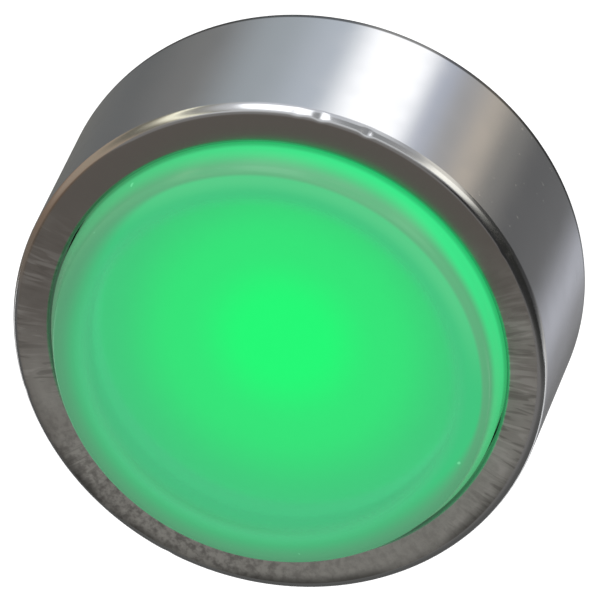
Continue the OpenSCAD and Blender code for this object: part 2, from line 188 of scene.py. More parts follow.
class StageSettings(bpy.types.PropertyGroup):
    """Camera, floor and light."""
    azimuth: angle("Azimuth", "Camera's angle round the button from the front", 12.1)
    elevation: angle("Elevation", "Camera's angle above the button", 27.8)
    distance: length("Distance", "Camera's distance from the bezel's face", 302.97)
    shift_right: length("Shift right", "Camera's shift to its right", 1.293)
    shift_up: length("Shift up", "Camera's shift upwards", 2.905)
    focal: bpy.props.FloatProperty(
        name="Focal length", description="Camera's focal length", default=337.2, min=1, unit="CAMERA")
    floor_drop: length("Floor", "Distance of the floor below the axis", 120)
    floor_colour: colour("Floor colour", "Pale floor", (0.8, 0.8, 0.8))
    key: strength("Key light", "Power of the softbox overhead in watts", 0.32)
    fill: strength("Fill light", "Strength of the room's light on what isn't a mirror", 0.8)


# Modelling

def clear_selection():
    """Leaves edit mode and deselects everything."""
    if bpy.context.mode != "OBJECT":
        bpy.ops.object.mode_set(mode="OBJECT")
    bpy.ops.object.select_all(action="DESELECT")


def choose(piece):
    """Selects one piece and makes it active."""
    clear_selection()
    piece.select_set(True)
    bpy.context.view_layer.objects.active = piece


def edit_all(piece):
    """Opens a piece in edit mode with all of it selected."""
    choose(piece)
    bpy.ops.object.mode_set(mode="EDIT")
    bpy.ops.mesh.select_all(action="SELECT")


def apply_modifier(piece, kind, **values):
    """Adds a modifier, sets it and applies it."""
    choose(piece)
    modifier = piece.modifiers.new(kind.title(), kind)
    for name, value in values.items():
        setattr(modifier, name, value)
    bpy.ops.object.modifier_apply(modifier=modifier.name)


def arc(radius, depth, size, start, end):
    """Outline points of a round stretch about (radius, depth), between two angles in degrees."""
    steps = [math.radians(start + (end - start) * i / ARC_STEPS) for i in range(ARC_STEPS + 1)]
    return [(radius + size * math.cos(t), depth + size * math.sin(t)) for t in steps]


def groove(radius, depth, out, half):
    """Outline points of a snap groove, from its front to its rear."""
    return [(radius, depth + half), (radius + out, depth), (radius, depth - half)]


def draw_outline(name, points):
    """New object with a line through points given as radius and depth, left in edit mode."""
    clear_selection()
    bpy.ops.mesh.primitive_plane_add(size=MM)
    piece = bpy.context.object
    piece.name = piece.data.name = name
    edit_all(piece)
    bpy.ops.mesh.merge(type="CENTER")
    places = [Vector((radius, -depth, 0)) for radius, depth in points]
    bpy.ops.transform.translate(value=places[0])
    for here, there in zip(places, places[1:]):
        bpy.ops.mesh.extrude_region_move(TRANSFORM_OT_translate={"value": there - here})
    return piece


def turn_outline(name, points, steps=TURN_STEPS):
    """New piece turned about the button's axis from an outline of radii and depths."""
    piece = draw_outline(name, points)
    bpy.ops.mesh.select_all(action="SELECT")
    bpy.ops.mesh.spin(steps=steps, angle=math.tau, center=(0, 0, 0), axis=(0, 1, 0))
    bpy.ops.mesh.select_all(action="SELECT")
    bpy.ops.mesh.remove_doubles(threshold=MERGE)
    bpy.ops.mesh.delete_loose(use_verts=True, use_edges=True)
    bpy.ops.mesh.select_all(action="SELECT")
    bpy.ops.mesh.normals_make_consistent(inside=False)
    clear_selection()
    return piece


def smooth(piece, degrees=SHARP):
    """Shades a piece smooth up to an angle, with flat faces kept flat."""
    choose(piece)
    bpy.ops.object.shade_smooth_by_angle(angle=math.radians(degrees))
    apply_modifier(piece, "WEIGHTED_NORMAL", keep_sharp=True)


def copy_node(node):
    """New piece with a merged copy of a CAD node's mesh, whose flat faces are whole."""
    piece = bpy.data.objects.new(node + "_finished", frame["nodes"][node].data.copy())
    bpy.context.scene.collection.objects.link(piece)
    edit_all(piece)
    bpy.ops.mesh.customdata_custom_splitnormals_clear()
    bpy.ops.mesh.remove_doubles(threshold=MERGE)
    bpy.ops.mesh.dissolve_limited(angle_limit=math.radians(FLAT))
    clear_selection()
    return piece


def break_edges(piece, width):
    """Rounds a piece's sharp edges a little."""
    apply_modifier(piece, "BEVEL", width=width, segments=2, limit_method="ANGLE",
                   angle_limit=math.radians(SHARP), use_clamp_overlap=True)


def place(piece, node, finish):
    """Lets a piece stand for a CAD node: on its body and with its finish."""
    record = frame["record"]
    body = next(name for name, nodes in record["behaviour"]["bodies"].items() if node in nodes)
    piece.data.materials.clear()
    piece.data.materials.append(finish)
    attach(piece, body)
    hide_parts(node)


def finish_copy(node, edge, finish):
    """Finishes a CAD node as a copy of it with broken edges."""
    piece = copy_node(node)
    break_edges(piece, edge)
    smooth(piece)
    place(piece, node, finish)


# Nodes of the finishes

def add_node(tree, kind, inputs=None, **values):
    """New node, with each input set to a value or linked from a socket."""
    node = tree.nodes.new(kind)
    for name, value in values.items():
        setattr(node, name, value)
    for key, value in (inputs or {}).items():
        if isinstance(value, bpy.types.NodeSocket):
            tree.links.new(value, node.inputs[key])
        else:
            node.inputs[key].default_value = value
    return node


def new_finish(name, base=None, roughness=0.5, metallic=0.0):
    """New material, its node tree and its shader."""
    material = bpy.data.materials.new(name)
    material.use_nodes = True
    shader = material.node_tree.nodes["Principled BSDF"]
    shader.inputs["Roughness"].default_value = roughness
    shader.inputs["Metallic"].default_value = metallic
    if base:
        shader.inputs["Base Color"].default_value = (*base, 1)
    return material, material.node_tree, shader


def connect(shader, sockets):
    """Links a shader's inputs, by name, from sockets."""
    for name, socket in sockets.items():
        shader.id_data.links.new(socket, shader.inputs[name])


def calc(tree, operation, first, second=0.0, clamp=False):
    """Result of a sum on two values."""
    inputs = {0: first, 1: second}
    return add_node(tree, "ShaderNodeMath", inputs, operation=operation, use_clamp=clamp).outputs[0]


def plus(tree, first, second):
    """Sum of two values."""
    return calc(tree, "ADD", first, second)


def minus(tree, first, second):
    """Difference of two values."""
    return calc(tree, "SUBTRACT", first, second)


def times(tree, first, second):
    """Product of two values."""
    return calc(tree, "MULTIPLY", first, second)


def vector_calc(tree, operation, first, second=(0, 0, 0)):
    """Vector result of a sum on vectors."""
    return add_node(tree, "ShaderNodeVectorMath", {0: first, 1: second}, operation=operation).outputs[0]


def fade(tree, value, low, high, start=0.0, end=1.0):
    """Smooth step of a value from one level to another."""
    inputs = {"Value": value, "From Min": low, "From Max": high, "To Min": start, "To Max": end}
    return add_node(tree, "ShaderNodeMapRange", inputs, interpolation_type="SMOOTHSTEP").outputs["Result"]


def fade_linear(tree, value, low, high):
    """Even change of a value to a share from 0 to 1."""
    inputs = {"Value": value, "From Min": low, "From Max": high}
    return add_node(tree, "ShaderNodeMapRange", inputs).outputs["Result"]


def along(tree, factor, first, second):
    """Value part of the way from one number to another."""
    return plus(tree, times(tree, factor, second - first), first)


def blend(tree, factor, first, second):
    """Mix of two colours, each a socket or three numbers."""
    first, second = [c if isinstance(c, bpy.types.NodeSocket) else (*c, 1) for c in (first, second)]
    return add_node(tree, "ShaderNodeMix", {0: factor, 6: first, 7: second}, data_type="RGBA").outputs[2]


def noise(tree, vector, scale, detail=2.0, roughness=0.5, swirl=0.0):
    """Cloudy pattern."""
    inputs = {"Vector": vector, "Scale": scale, "Detail": detail, "Roughness": roughness, "Distortion": swirl}
    return add_node(tree, "ShaderNodeTexNoise", inputs).outputs["Fac"]


def bump(tree, height, depth, amount):
    """Normal of a surface that is raised by a height."""
    inputs = {"Height": height, "Distance": depth, "Strength": amount}
    return add_node(tree, "ShaderNodeBump", inputs).outputs["Normal"]


def tones(tree, factor, stops):
    """Colour ramp from stops of a place and a colour, or a place and a grey."""
    ramp = add_node(tree, "ShaderNodeValToRGB", {0: factor})
    ramp.color_ramp.interpolation = "EASE"
    elements = ramp.color_ramp.elements
    while len(elements) < len(stops):
        elements.new(1)
    for element, (position, tone) in zip(elements, stops):
        element.position = position
        element.color = (tone, tone, tone, 1) if isinstance(tone, float) else (*tone, 1)
    return ramp.outputs["Color"]


def object_point(tree):
    """Object coordinates."""
    return add_node(tree, "ShaderNodeTexCoord").outputs["Object"]


def split(tree, point):
    """Parts X, Y and Z of a point."""
    return add_node(tree, "ShaderNodeSeparateXYZ", {0: point}).outputs


def radius_at(tree, point):
    """Distance of a point from the axis."""
    across = vector_calc(tree, "MULTIPLY", point, ACROSS)
    return add_node(tree, "ShaderNodeVectorMath", {0: across}, operation="LENGTH").outputs["Value"]


def depth_at(tree, point):
    """Distance of a point in front of the panel seat."""
    return times(tree, split(tree, point)["Y"], -1.0)


def round_axis(tree, point, fineness, stretch):
    """Pattern vector that runs round the axis without a seam, fine round it and long across it."""
    ring = vector_calc(tree, "NORMALIZE", vector_calc(tree, "MULTIPLY", point, ACROSS))
    ring = vector_calc(tree, "MULTIPLY", ring, (fineness, fineness, fineness))
    outwards = times(tree, radius_at(tree, point), stretch)
    outwards = add_node(tree, "ShaderNodeCombineXYZ", {"Y": outwards}).outputs[0]
    return vector_calc(tree, "ADD", ring, outwards)


# Finishes

def chrome_plate(bezel):
    """Polished chrome on the side, with painted glints of small pits and painted shade along the rear edge,
    and a front face that is worn dull and scratched, most of all below, with painted shade along its lower
    outer edge.
    """
    pale_mark = (0.95, 0.94, 0.92)
    dark_mark = (0.14, 0.13, 0.12)
    dark_spot = (0.18, 0.17, 0.165)
    # Tone of the painted shade along the face's lower outer edge
    edge_shade_tone = (0.1, 0.1, 0.095)
    dull_mark = (0.2, 0.19, 0.18)
    # Tone of the painted glints of small pits
    pit_glint_tone = (0.95, 0.94, 0.9)
    front_r = BEZEL_R - bezel.draft

    material, tree, shader = new_finish("chrome_plate", metallic=1.0)
    point = object_point(tree)
    radius = radius_at(tree, point)
    depth = depth_at(tree, point)
    parts = split(tree, point)
    height = calc(tree, "DIVIDE", parts["Z"], BEZEL_R)
    sideways = calc(tree, "DIVIDE", parts["X"], BEZEL_R)
    rays = noise(tree, round_axis(tree, point, 32, 330), 1.0, 1.5, 0.6, 1.1)
    fine_rays = noise(tree, round_axis(tree, point, 130, 420), 1.0, 2.0, 0.6, 0.6)
    patches = noise(tree, point, 330, 3.0)
    mottle = noise(tree, point, 2100, 4.0, 0.62)

    # Zones: the front face, which reaches further over its edge at the left, and where wear is on it
    left = fade(tree, sideways, -0.5, -0.7)
    front = fade(tree, depth,
                 along(tree, left, BEZEL_DEPTH - 0.03 * MM, BEZEL_DEPTH - 0.1 * MM),
                 along(tree, left, BEZEL_DEPTH - 0.005 * MM, BEZEL_DEPTH - 0.05 * MM))
    worn = minus(tree, times(tree, sideways, 0.1), height)
    worn = plus(tree, worn, times(tree, minus(tree, patches, 0.5), 1.2))
    worn = fade(tree, worn, -0.58, 0.66)
    rayed = times(tree, fade(tree, height, 0.55, 0.0),
                  fade(tree, calc(tree, "ABSOLUTE", sideways), 0.45, 0.85))
    rayed = times(tree, rayed, fade(tree, noise(tree, point, 260), 0.3, 0.55))
    low = fade(tree, height, -0.1, -0.7)
    speckled = times(tree, low, fade(tree, sideways, 0.4, -0.3, 0.35, 1.0))
    # Painted shade along the outer edge of the face's lower part, broken up by patches
    lower_edge_shade = times(tree, low, fade(tree, radius, front_r - 1.1 * MM, front_r - 0.5 * MM))
    lower_edge_shade = times(tree, lower_edge_shade, fade(tree, patches, 0.35, 0.6, 0.4, 1.0))
    # Patch on the upper right of the side that carries painted glints of small pits
    pit_glint_patch = times(tree, fade(tree, sideways, 0.66, 0.76), fade(tree, height, 0.4, 0.5))

    # Marks on the face, each with its strength and its tone
    marks = (
        (times(tree, fade(tree, rays, 0.53, 0.64), rayed), 0.45, pale_mark),
        (times(tree, fade(tree, rays, 0.47, 0.37), rayed), 0.42, dark_mark),
        (times(tree, fade(tree, fine_rays, 0.52, 0.66), rayed), 0.15, pale_mark),
        (times(tree, fade(tree, mottle, 0.62, 0.34), speckled), 0.65, dark_spot),
        (lower_edge_shade, 0.75, edge_shade_tone),
        (fade(tree, fine_rays, 0.35, 0.7), 0.05, dull_mark),
    )
    face = blend(tree, worn, bezel.face_dark, bezel.face_pale)
    for mark, amount, tone in marks:
        face = blend(tree, times(tree, mark, amount), face, tone)
    # Pale specks on the side: painted glints of small pits
    pit_glints = times(tree, fade(tree, noise(tree, point, 1900), 0.69, 0.73), pit_glint_patch)
    side = blend(tree, times(tree, pit_glints, 0.6), bezel.side_colour, pit_glint_tone)
    # Painted shade: the side darkens along its rear edge
    side = blend(tree, fade(tree, depth, 0.6 * MM, 0.46 * MM), side, bezel.rear_edge_shade)

    haze = noise(tree, point, 500, 3.0)
    side_rough = fade(tree, haze, 0.3, 0.7, bezel.side_roughness - 0.03, bezel.side_roughness + 0.03)
    face_rough = fade(tree, worn, 0.0, 1.0, bezel.face_roughness - 0.1, bezel.face_roughness + 0.04)
    rougher = times(tree, front, minus(tree, face_rough, side_rough))
    relief = plus(tree, times(tree, minus(tree, rays, 0.5), rayed),
                  times(tree, minus(tree, mottle, 0.5), speckled))
    connect(shader, {
        "Base Color": blend(tree, front, side, face),
        "Roughness": plus(tree, rougher, side_rough),
        "Normal": bump(tree, times(tree, relief, front), 0.04 * MM, 0.5),
    })
    return material


def green_lens(lens):
    """Green plastic lit from within: clear over the diffuser, milky towards its edge, with a greyish rim
    painted pale as a highlight, painted light from the upper right on its wall and rim, a painted sheen
    beside the rim and painted shade at the wall's foot.
    """
    speck_glow = (0.3, 0.9, 0.5)
    unlit = (0, 0, 0)

    material, tree, shader = new_finish("green_lens", roughness=lens.roughness)
    shader.inputs["IOR"].default_value = 1.49
    shader.inputs["Specular IOR Level"].default_value = 0.3
    point = object_point(tree)
    radius = radius_at(tree, point)
    depth = depth_at(tree, point)
    # How far a point lies towards the upper right, where painted light makes the wall, the rim and the sheen
    # brightest
    towards = add_node(tree, "ShaderNodeVectorMath", {0: point, 1: UPPER_RIGHT}, operation="DOT_PRODUCT")
    lit = fade_linear(tree, towards.outputs["Value"], -0.3 * LENS_R, LENS_R)
    top = fade(tree, split(tree, point)["Z"], 0.5 * LENS_R, 0.9 * LENS_R)

    # Zones: milky edge, rim, wall, hollow inside, painted shade at the foot of the wall and painted sheen
    # beside the rim
    milky = fade(tree, radius, LENS_R - 2.8 * MM, LENS_R - 1.5 * MM)
    rim_inside = along(tree, fade(tree, lit, 0.0, 0.6), LENS_R - 2.4 * MM, LENS_R - 0.98 * MM)
    rim = fade(tree, radius, rim_inside, LENS_R - 0.75 * MM)
    outside = fade(tree, radius, LENS_R - 1.3 * MM, LENS_R - 1.15 * MM)
    wall_start = along(tree, top, LENS_FRONT - 1.1 * MM, LENS_FRONT - 1.7 * MM)
    wall = times(tree, outside, fade(tree, depth, LENS_FRONT - 0.3 * MM, wall_start))
    inner = times(tree, fade(tree, radius, LENS_R - 1.0 * MM, LENS_R - 1.15 * MM),
                  fade(tree, depth, LENS_FRONT - 1.0 * MM, LENS_FRONT - 1.1 * MM))
    # Painted shade at the foot of the wall, by the bezel
    foot = fade(tree, depth, BEZEL_DEPTH - 0.05 * MM, BEZEL_DEPTH + 0.2 * MM, lens.foot, 1.0)
    # Painted sheen, a reflection of the light overhead, beside the rim at the top and upper right
    near_rim = fade(tree, radius, LENS_R - 2.1 * MM, LENS_R - 1.1 * MM)
    sheen = times(tree, near_rim, calc(tree, "MAXIMUM", top, fade(tree, lit, 0.6, 0.9)))
    sheen = times(tree, sheen, minus(tree, 1.0, rim))
    specks = fade(tree, noise(tree, point, 1500, 1.0), 0.76, 0.8)

    base = blend(tree, milky, lens.clear_colour, lens.milky_colour)
    # The rim's paler pigment is a painted highlight
    base = blend(tree, rim, base, lens.rim_colour)
    base = blend(tree, wall, base, lens.milky_colour)
    # The rim's glow is painted brighter towards the upper right
    glow = blend(tree, rim, lens.veil, blend(tree, lit, lens.rim_dim, lens.rim_glow))
    glow = vector_calc(tree, "ADD", glow, blend(tree, sheen, unlit, lens.sheen))
    # The wall's glow, with painted light that is brightest at the upper right
    glow = blend(tree, wall, glow, blend(tree, lit, lens.wall_dim, lens.wall_glow))
    glow = blend(tree, inner, glow, lens.inner_glow)
    glow = blend(tree, times(tree, specks, 0.3), glow, speck_glow)
    connect(shader, {
        "Base Color": base,
        "Transmission Weight": calc(tree, "SUBTRACT", 0.98, milky, clamp=True),
        "Emission Color": glow,
        "Emission Strength": times(tree, milky, calc(tree, "MAXIMUM", foot, inner)),
        "Normal": bump(tree, noise(tree, point, 900), 0.01 * MM, 0.2),
    })
    return material


def lit_opal(lens):
    """Opal plastic with the diode's light behind it, brightest at its middle."""
    material, tree, shader = new_finish("lit_opal", (0.1, 0.12, 0.1), 0.6)
    shader.inputs["Emission Strength"].default_value = 1.0
    point = object_point(tree)
    cloud = times(tree, minus(tree, noise(tree, point, 300), 0.5), 0.03)
    outwards = plus(tree, calc(tree, "DIVIDE", radius_at(tree, point), DIFFUSER_R), cloud)
    stops = ((0.0, lens.glow_middle), (0.2, lens.glow_middle), (0.55, lens.glow_half), (1.0, lens.glow_edge))
    connect(shader, {"Emission Color": tones(tree, outwards, stops)})
    return material


def white_plastic(lens):
    """White moulding, lit where it surrounds the diffuser."""
    material, tree, shader = new_finish("white_plastic", roughness=0.45)
    shader.inputs["Emission Color"].default_value = (*lens.holder_glow, 1)
    point = object_point(tree)
    inside = times(tree, fade(tree, depth_at(tree, point), DIFFUSER_REAR - MM, DIFFUSER_REAR),
                   fade(tree, radius_at(tree, point), LENS_R - 0.9 * MM, LENS_R - 1.1 * MM))
    plain = blend(tree, noise(tree, point, 500, 3.0), (0.74, 0.74, 0.71), (0.82, 0.82, 0.8))
    connect(shader, {
        "Base Color": blend(tree, inside, plain, (0.1, 0.12, 0.1)),
        "Emission Strength": inside,
        "Normal": bump(tree, noise(tree, point, 6000), 0.004 * MM, 0.4),
    })
    return material


def moulded_plastic(name, dark, pale):
    """Cloudy moulding with a fine eroded grain."""
    material, tree, shader = new_finish(name)
    point = object_point(tree)
    grain = noise(tree, point, 5200, 3.0, 0.6)
    connect(shader, {
        "Base Color": blend(tree, noise(tree, point, 350, 3.0), dark, pale),
        "Roughness": fade(tree, grain, 0.3, 0.7, 0.42, 0.6),
        "Normal": bump(tree, grain, 0.012 * MM, 0.5),
    })
    return material


def black_rubber():
    """Matt moulded rubber with a dusty bloom."""
    material, tree, shader = new_finish("black_rubber", roughness=0.75)
    point = object_point(tree)
    bloom = fade(tree, noise(tree, point, 800, 4.0, 0.6), 0.4, 0.75)
    connect(shader, {
        "Base Color": blend(tree, bloom, (0.018, 0.018, 0.019), (0.03, 0.03, 0.03)),
        "Normal": bump(tree, noise(tree, point, 7000), 0.006 * MM, 0.5),
    })
    return material


def turned_metal(name, dark, pale, roughness):
    """Plated or drawn metal with fine marks round the axis and faint stains."""
    material, tree, shader = new_finish(name, metallic=1.0)
    point = object_point(tree)
    marks = noise(tree, round_axis(tree, point, 6, 9000), 1.0, 3.0)
    stain = fade(tree, noise(tree, point, 420, 4.0, 0.6), 0.35, 0.7)
    connect(shader, {
        "Base Color": blend(tree, stain, pale, dark),
        "Roughness": fade(tree, marks, 0.3, 0.7, roughness - 0.07, roughness + 0.08),
        "Normal": bump(tree, marks, 0.006 * MM, 0.35),
    })
    return material


def rolled_strip(name, dark, pale, roughness):
    """Rolled metal strip with grain along its length and handling stains."""
    material, tree, shader = new_finish(name, metallic=1.0)
    point = object_point(tree)
    grain = noise(tree, vector_calc(tree, "MULTIPLY", point, (9000, 500, 9000)), 1.0)
    stain = fade(tree, noise(tree, point, 600, 4.0, 0.65), 0.35, 0.7)
    connect(shader, {
        "Base Color": blend(tree, stain, pale, dark),
        "Roughness": fade(tree, grain, 0.3, 0.7, roughness - 0.06, roughness + 0.08),
        "Normal": bump(tree, grain, 0.004 * MM, 0.35),
    })
    return material


def circuit_board():
    """Green solder mask with a paler track down the middle of its front."""
    material, tree, shader = new_finish("circuit_board", roughness=0.32)
    point = object_point(tree)
    track = fade(tree, calc(tree, "ABSOLUTE", split(tree, point)["X"]), 0.32 * MM, 0.28 * MM)
    on_front = fade(tree, depth_at(tree, point), BOARD_FRONT - 0.05 * MM, BOARD_FRONT - 0.02 * MM)
    weave = noise(tree, point, 2500, 3.0)
    mask = blend(tree, weave, (0.012, 0.1, 0.04), (0.02, 0.16, 0.065))
    connect(shader, {
        "Base Color": blend(tree, times(tree, track, on_front), mask, (0.06, 0.3, 0.13)),
        "Normal": bump(tree, plus(tree, track, weave), 0.01 * MM, 0.4),
    })
    return material


def diode_resin():
    """White diode body with a lit clear dome."""
    material, tree, shader = new_finish("diode_resin", roughness=0.2)
    shader.inputs["Emission Color"].default_value = (0.1, 1.0, 0.35, 1)
    point = object_point(tree)
    dome = fade(tree, radius_at(tree, point), 1.35 * MM, 1.25 * MM)
    body = blend(tree, noise(tree, point, 1500), (0.75, 0.75, 0.72), (0.85, 0.85, 0.82))
    connect(shader, {
        "Base Color": blend(tree, dome, body, (0.25, 0.6, 0.35)),
        "Emission Strength": dome,
    })
    return material


def chip_ceramic():
    """Black glazed chip between tinned ends."""
    material, tree, shader = new_finish("chip_ceramic", roughness=0.3)
    point = object_point(tree)
    low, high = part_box("led_resistor")
    half = (high.z - low.z) / 2
    from_middle = calc(tree, "ABSOLUTE", minus(tree, split(tree, point)["Z"], (low.z + high.z) / 2))
    tinned = fade(tree, from_middle, half - 0.45 * MM, half - 0.4 * MM)
    glaze = blend(tree, noise(tree, point, 4000), (0.02, 0.02, 0.022), (0.05, 0.05, 0.055))
    connect(shader, {
        "Base Color": blend(tree, tinned, glaze, (0.6, 0.6, 0.58)),
        "Metallic": tinned,
    })
    return material


# Operators, one for each piece or group of like pieces

class PUSHBUTTON_OT_bezel(bpy.types.Operator):
    """Turns the chrome bezel and dents its front edge"""
    bl_idname = "pushbutton.bezel"
    bl_label = "Bezel"

    STEPS = 720

    # Dents: the angle round the axis in degrees, and the depth in millimetres
    NICKS = ((85.5, 0.03), (80.3, 0.05), (70.7, 0.06), (245.0, 0.03), (31.0, 0.03), (196.0, 0.03))

    # Middle of a rounded edge, as a share of its radius in from both faces
    MIDDLE = 0.3

    def execute(self, context):
        bezel = context.scene.bezel_settings
        front_r = BEZEL_R - bezel.draft
        cavity_r = BEZEL_R - bezel.wall
        opening_r = cavity_r - bezel.overhang
        lip_rear = BEZEL_DEPTH - bezel.lip
        outer, rear, inner = bezel.front_round, bezel.rim_round, bezel.opening_round
        outline = [
            (cavity_r, 0),
            *arc(BEZEL_R - rear, rear, rear, -90, 0),
            *arc(front_r - outer, BEZEL_DEPTH - outer, outer, 0, 90),
            *arc(opening_r + inner, BEZEL_DEPTH - inner, inner, 90, 180),
            (opening_r, lip_rear),
            (cavity_r, lip_rear),
            *groove(cavity_r, bezel.groove_at, bezel.groove, bezel.groove_half),
            (cavity_r, 0),
        ]
        piece = turn_outline("bezel_shell", outline, self.STEPS)
        self.dent_edge(piece, bezel, front_r)
        smooth(piece)
        place(piece, "bezel", chrome_plate(bezel))
        return {"FINISHED"}

    def dent_edge(self, piece, bezel, front_r):
        """Presses small nicks into the front edge."""
        edge_r = front_r - self.MIDDLE * bezel.front_round
        edge_y = -(BEZEL_DEPTH - self.MIDDLE * bezel.front_round)
        for degrees, depth in self.NICKS:
            turn = math.radians(degrees)
            spot = Vector((edge_r * math.cos(turn), edge_y, edge_r * math.sin(turn)))
            choose(piece)
            bpy.ops.object.mode_set(mode="EDIT")
            bpy.ops.mesh.select_all(action="DESELECT")
            bpy.ops.object.mode_set(mode="OBJECT")
            nearest = min(piece.data.vertices, key=lambda v: (v.co - spot).length)
            nearest.select = True
            bpy.ops.object.mode_set(mode="EDIT")
            inwards = Vector((-math.cos(turn), 1, -math.sin(turn))).normalized() * depth * MM
            bpy.ops.transform.translate(
                value=inwards, use_proportional_edit=True, proportional_edit_falloff="SMOOTH",
                proportional_size=bezel.nick, use_proportional_connected=True)
            bpy.ops.object.mode_set(mode="OBJECT")


class PUSHBUTTON_OT_lens(bpy.types.Operator):
    """Turns the green lens and the diffuser that lights it"""
    bl_idname = "pushbutton.lens"
    bl_label = "Lens and diffuser"

    DISC_EDGE = 0.1 * MM

    def execute(self, context):
        lens = context.scene.lens_settings
        self.lens_cap(lens)
        self.diffuser_disc(lens)
        return {"FINISHED"}

    def lens_cap(self, lens):
        """Cap with a leaning wall, a rounded edge and a snap groove inside."""
        lean = lens.lean
        size = lens.edge_round
        inner_r = LENS_R - lens.wall
        underside = LENS_FRONT - lens.wall
        round_start = LENS_FRONT - size * (1 - math.sin(lean))
        round_r = LENS_R - (round_start - BEZEL_DEPTH) * math.tan(lean) - size * math.cos(lean)
        bead_at = (LENS_REAR + SPIGOT_FRONT) / 2
        outline = [
            (inner_r, LENS_REAR),
            (LENS_R, LENS_REAR),
            (LENS_R, BEZEL_DEPTH),
            *arc(round_r, LENS_FRONT - size, size, math.degrees(lean), 90),
            (0, LENS_FRONT),
            (0, underside),
            *arc(round_r - size, underside - size, size, 90, 0),
            (inner_r, SPIGOT_FRONT),
            *groove(inner_r, bead_at, lens.bead, lens.bead_half),
            (inner_r, LENS_REAR),
        ]
        piece = turn_outline("lens_cap", outline)
        smooth(piece)
        place(piece, "lens", green_lens(lens))

    def diffuser_disc(self, lens):
        """Opal disc with rounded edges."""
        edge = self.DISC_EDGE
        outline = [
            (0, DIFFUSER_REAR),
            *arc(DIFFUSER_R - edge, DIFFUSER_REAR + edge, edge, -90, 0),
            *arc(DIFFUSER_R - edge, DIFFUSER_FRONT - edge, edge, 0, 90),
            (0, DIFFUSER_FRONT),
        ]
        piece = turn_outline("diffuser_disc", outline)
        smooth(piece)
        place(piece, "diffuser", lit_opal(lens))


class PUSHBUTTON_OT_plunger(bpy.types.Operator):
    """Finishes the plunger and its contact carrier"""
    bl_idname = "pushbutton.plunger"
    bl_label = "Plunger"

    def execute(self, context):
        white = white_plastic(context.scene.lens_settings)
        for node in ("lens_holder", "contact_carrier"):
            finish_copy(node, context.scene.body_settings.edge, white)
        return {"FINISHED"}


class PUSHBUTTON_OT_seals(bpy.types.Operator):
    """Finishes the wiper seal and the panel gasket"""
    bl_idname = "pushbutton.seals"
    bl_label = "Seals"

    def execute(self, context):
        rubber = black_rubber()
        for node in ("wiper_seal", "panel_gasket"):
            finish_copy(node, context.scene.body_settings.sheet_edge, rubber)
        return {"FINISHED"}


class PUSHBUTTON_OT_barrel(bpy.types.Operator):
    """Cuts the thread into the barrel"""
    bl_idname = "pushbutton.barrel"
    bl_label = "Barrel"

    # Steps of the thread in a turn, and the angle in degrees up to which it is shaded smooth
    THREAD_STEPS = 96
    THREAD_SHARP = 25

    # The nut's wall and its gap to the thread, and how the thread is cut
    NUT_OVER_CREST = 1.6 * MM
    RUN_OUT = 0.6 * MM
    CREST = 0.1 * MM
    OVERCUT = 0.1 * MM

    def execute(self, context):
        piece = copy_node("barrel")
        cutter = self.thread_cutter(context.scene.body_settings)
        apply_modifier(piece, "BOOLEAN", operation="DIFFERENCE", object=cutter, solver="EXACT")
        bpy.data.objects.remove(cutter)
        smooth(piece, self.THREAD_SHARP)
        black = moulded_plastic("black_plastic", (0.016, 0.016, 0.018), (0.03, 0.03, 0.033))
        place(piece, "barrel", black)
        return {"FINISHED"}

    def thread_cutter(self, body):
        """Helical wedge that leaves the thread."""
        crest_r = NUT_R - self.NUT_OVER_CREST
        half = body.pitch / 2 - self.CREST
        wide = half + self.OVERCUT * half / body.thread_depth
        start = -body.thread_start
        outline = [
            (crest_r + self.OVERCUT, start + wide),
            (crest_r - body.thread_depth, start),
            (crest_r + self.OVERCUT, start - wide),
            (crest_r + self.OVERCUT, start + wide),
        ]
        cutter = draw_outline("thread_cutter", outline)
        bpy.ops.mesh.select_all(action="SELECT")
        bpy.ops.mesh.remove_doubles(threshold=MERGE)
        turns = (SHANK_END + self.RUN_OUT - body.thread_start) / body.pitch
        steps = round(self.THREAD_STEPS * turns)
        apply_modifier(cutter, "SCREW", axis="Y", angle=math.tau * turns, screw_offset=body.pitch * turns,
                       steps=steps, render_steps=steps, use_smooth_shade=False)
        edit_all(cutter)
        bpy.ops.mesh.fill_holes(sides=0)
        bpy.ops.mesh.select_all(action="SELECT")
        bpy.ops.mesh.normals_make_consistent(inside=False)
        clear_selection()
        return cutter


class PUSHBUTTON_OT_fixing(bpy.types.Operator):
    """Finishes the lock washer and the ring nut"""
    bl_idname = "pushbutton.fixing"
    bl_label = "Nut and washer"

    def execute(self, context):
        zinc = turned_metal("plated_steel", (0.46, 0.46, 0.44), (0.62, 0.62, 0.6), 0.3)
        for node in ("lock_washer", "ring_nut"):
            finish_copy(node, context.scene.body_settings.sheet_edge, zinc)
        return {"FINISHED"}


class PUSHBUTTON_OT_springs(bpy.types.Operator):
    """Rounds the wire of both springs"""
    bl_idname = "pushbutton.springs"
    bl_label = "Springs"

    # Share of the wire that its rounding takes off, and the angle up to which it is shaded smooth
    LOST = 0.04
    WIRE_SHARP = 60

    # Node, joint that shortens it, share of the button's travel that it loses, and wire
    SPRINGS = (
        ("return_spring", "button_press", 1.0, 0.5 * MM),
        ("contact_spring", "bridge_travel", 0.5, 0.22 * MM),
    )

    def execute(self, context):
        steel = turned_metal("spring_steel", (0.4, 0.41, 0.43), (0.55, 0.56, 0.58), 0.25)
        for node, joint, part_of_travel, wire in self.SPRINGS:
            piece = copy_node(node)
            edit_all(piece)
            bpy.ops.mesh.tris_convert_to_quads()
            apply_modifier(piece, "SUBSURF", levels=1, render_levels=1)
            edit_all(piece)
            bpy.ops.transform.shrink_fatten(value=wire * self.LOST)
            smooth(piece, self.WIRE_SHARP)
            place(piece, node, steel)
            low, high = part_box(node)
            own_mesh(piece)
        return {"FINISHED"}


